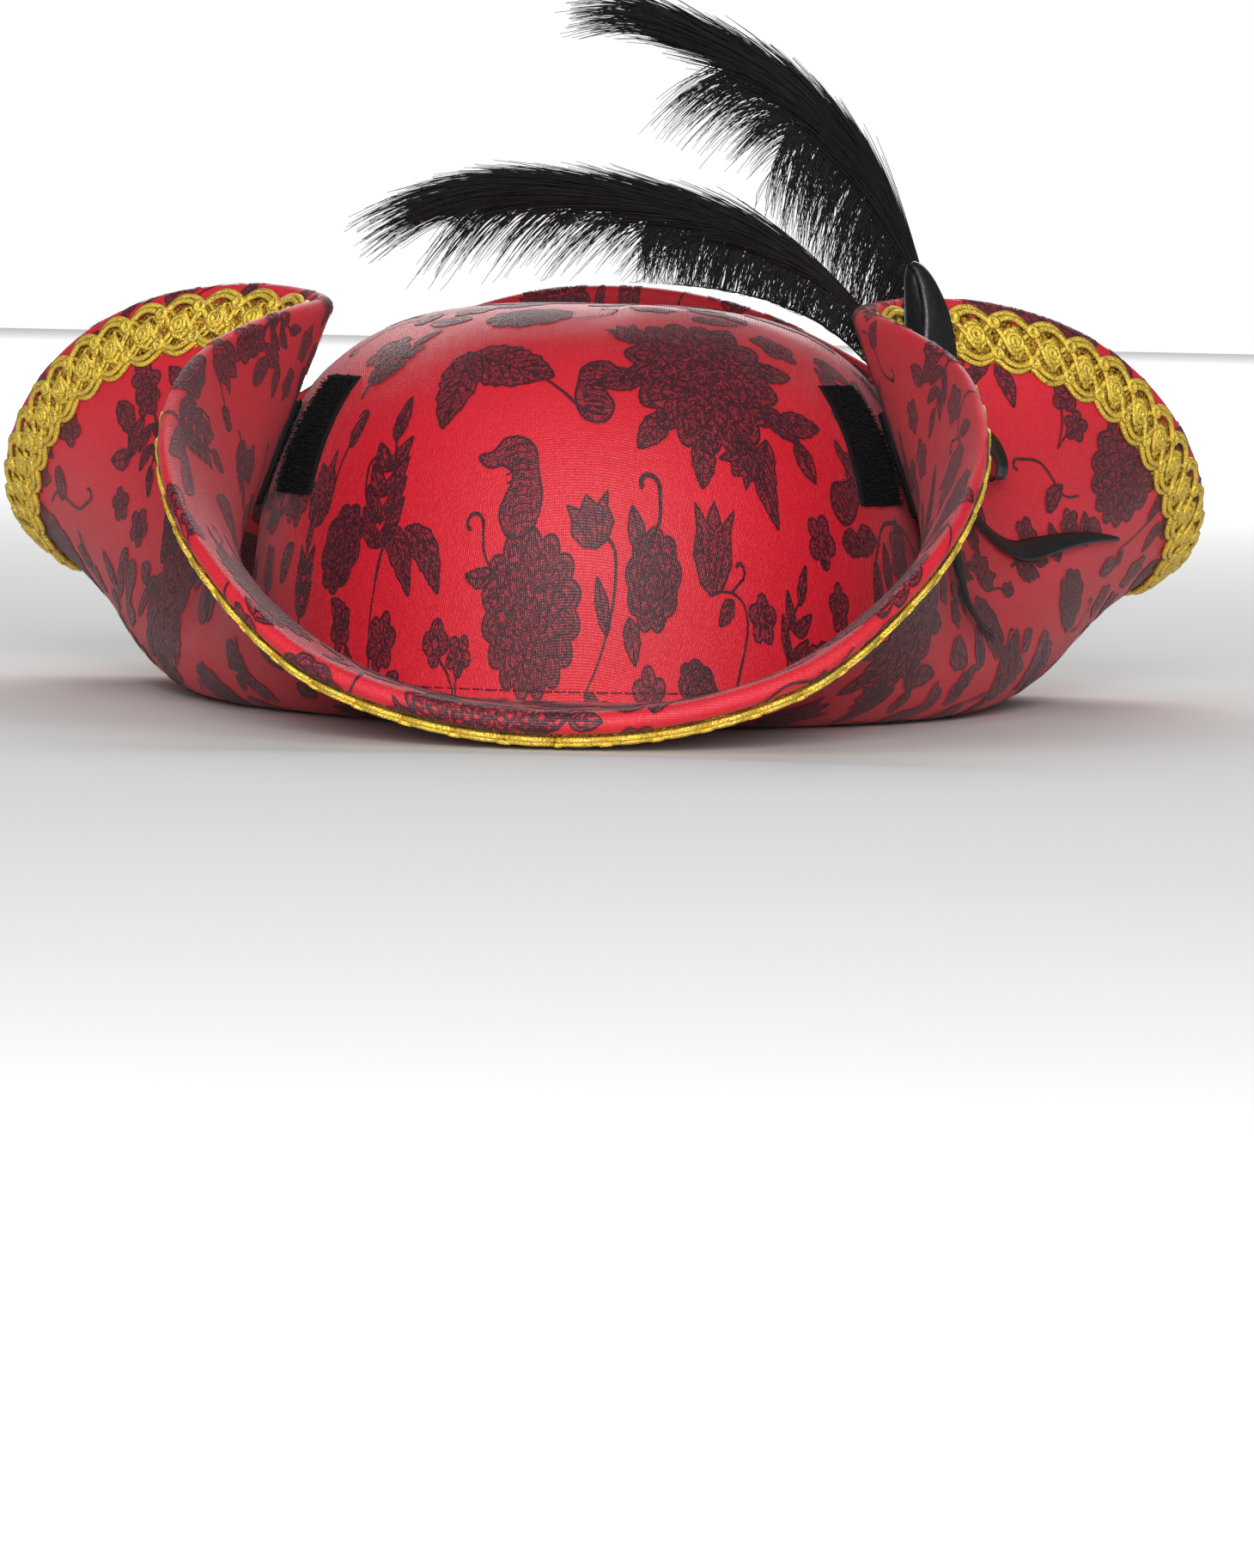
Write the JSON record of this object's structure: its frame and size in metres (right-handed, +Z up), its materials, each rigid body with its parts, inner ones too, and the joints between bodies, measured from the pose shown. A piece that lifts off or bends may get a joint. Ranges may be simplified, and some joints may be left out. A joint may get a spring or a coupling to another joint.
{
  "type": "pirate hat",
  "caption": "Three-cornered costume hat: domed crown and wide folded brim in floral printed cloth over foam, gold braid edging, black plumes and a ribbon bow.",
  "frame": {"origin": "middle of the head opening, level with the seam between crown and brim", "axes": "+Z up out of the crown, -Y towards the front corner of the brim, +X towards the wearer's left, the side with the plumes and the bow"},
  "size_m": [0.3004, 0.3483, 0.1806],
  "materials": {
    "printed_cloth": "printed, softly lustrous weave",
    "foam": "matt foam",
    "lining": "matt",
    "sweatband": "matt ribbed",
    "gold_braid": "metallic yarn",
    "hook_tape": "matt hooks",
    "loop_tape": "brushed loops",
    "felt": "felted",
    "quill": "satin",
    "barbs": "soft, faint sheen",
    "satin_ribbon": "satin"
  },
  "bodies": {
    "hat": {"crown_cover": "printed_cloth", "crown_foam": "foam", "crown_lining": "lining", "sweatband": "sweatband", "brim_top_cover": "printed_cloth", "brim_foam": "foam", "brim_under_cover": "printed_cloth", "front_braid": "gold_braid", "back_braid": "gold_braid", "left_crown_hook_tape": "hook_tape", "right_crown_hook_tape": "hook_tape", "felt_patch": "felt", "quill_sleeves": "felt"},
    "left_flap": {"left_flap_loop_tape": "loop_tape", "left_flap_top_cover": "printed_cloth", "left_flap_foam": "foam", "left_flap_under_cover": "printed_cloth", "left_flap_braid": "gold_braid"},
    "right_flap": {"right_flap_loop_tape": "loop_tape", "bow_knot": "satin_ribbon", "bow_upper_loop": "satin_ribbon", "bow_lower_loop": "satin_ribbon", "ribbon_long_tail": "satin_ribbon", "ribbon_short_tail": "satin_ribbon", "right_flap_top_cover": "printed_cloth", "right_flap_foam": "foam", "right_flap_under_cover": "printed_cloth", "right_flap_braid": "gold_braid"},
    "front_feather": {"front_quill": "quill", "front_plume": "barbs"},
    "tall_feather": {"tall_quill": "quill", "tall_plume": "barbs"}
  },
  "joints": [
    {"name": "left_flap_fold", "type": "hinge", "parent": "hat", "child": "left_flap", "pos_m": [-0.07958, -0.04206, -0.0032], "axis": [0.3466, -0.938, 0], "range_deg": [0, 30]},
    {"name": "right_flap_fold", "type": "hinge", "parent": "hat", "child": "right_flap", "pos_m": [0.07958, -0.04206, -0.0032], "axis": [0.3466, 0.938, 0], "range_deg": [0, 30]},
    {"name": "front_feather_sway", "type": "hinge", "parent": "hat", "child": "front_feather", "pos_m": [0.0849, -0.016, 0.0585], "axis": [0, 1, 0], "range_deg": [0, 8], "stiffness_Nm_per_rad": 0.1},
    {"name": "tall_feather_sway", "type": "hinge", "parent": "hat", "child": "tall_feather", "pos_m": [0.0862, 0, 0.0585], "axis": [0, 1, 0], "range_deg": [-3, 8], "stiffness_Nm_per_rad": 0.15}
  ]
}
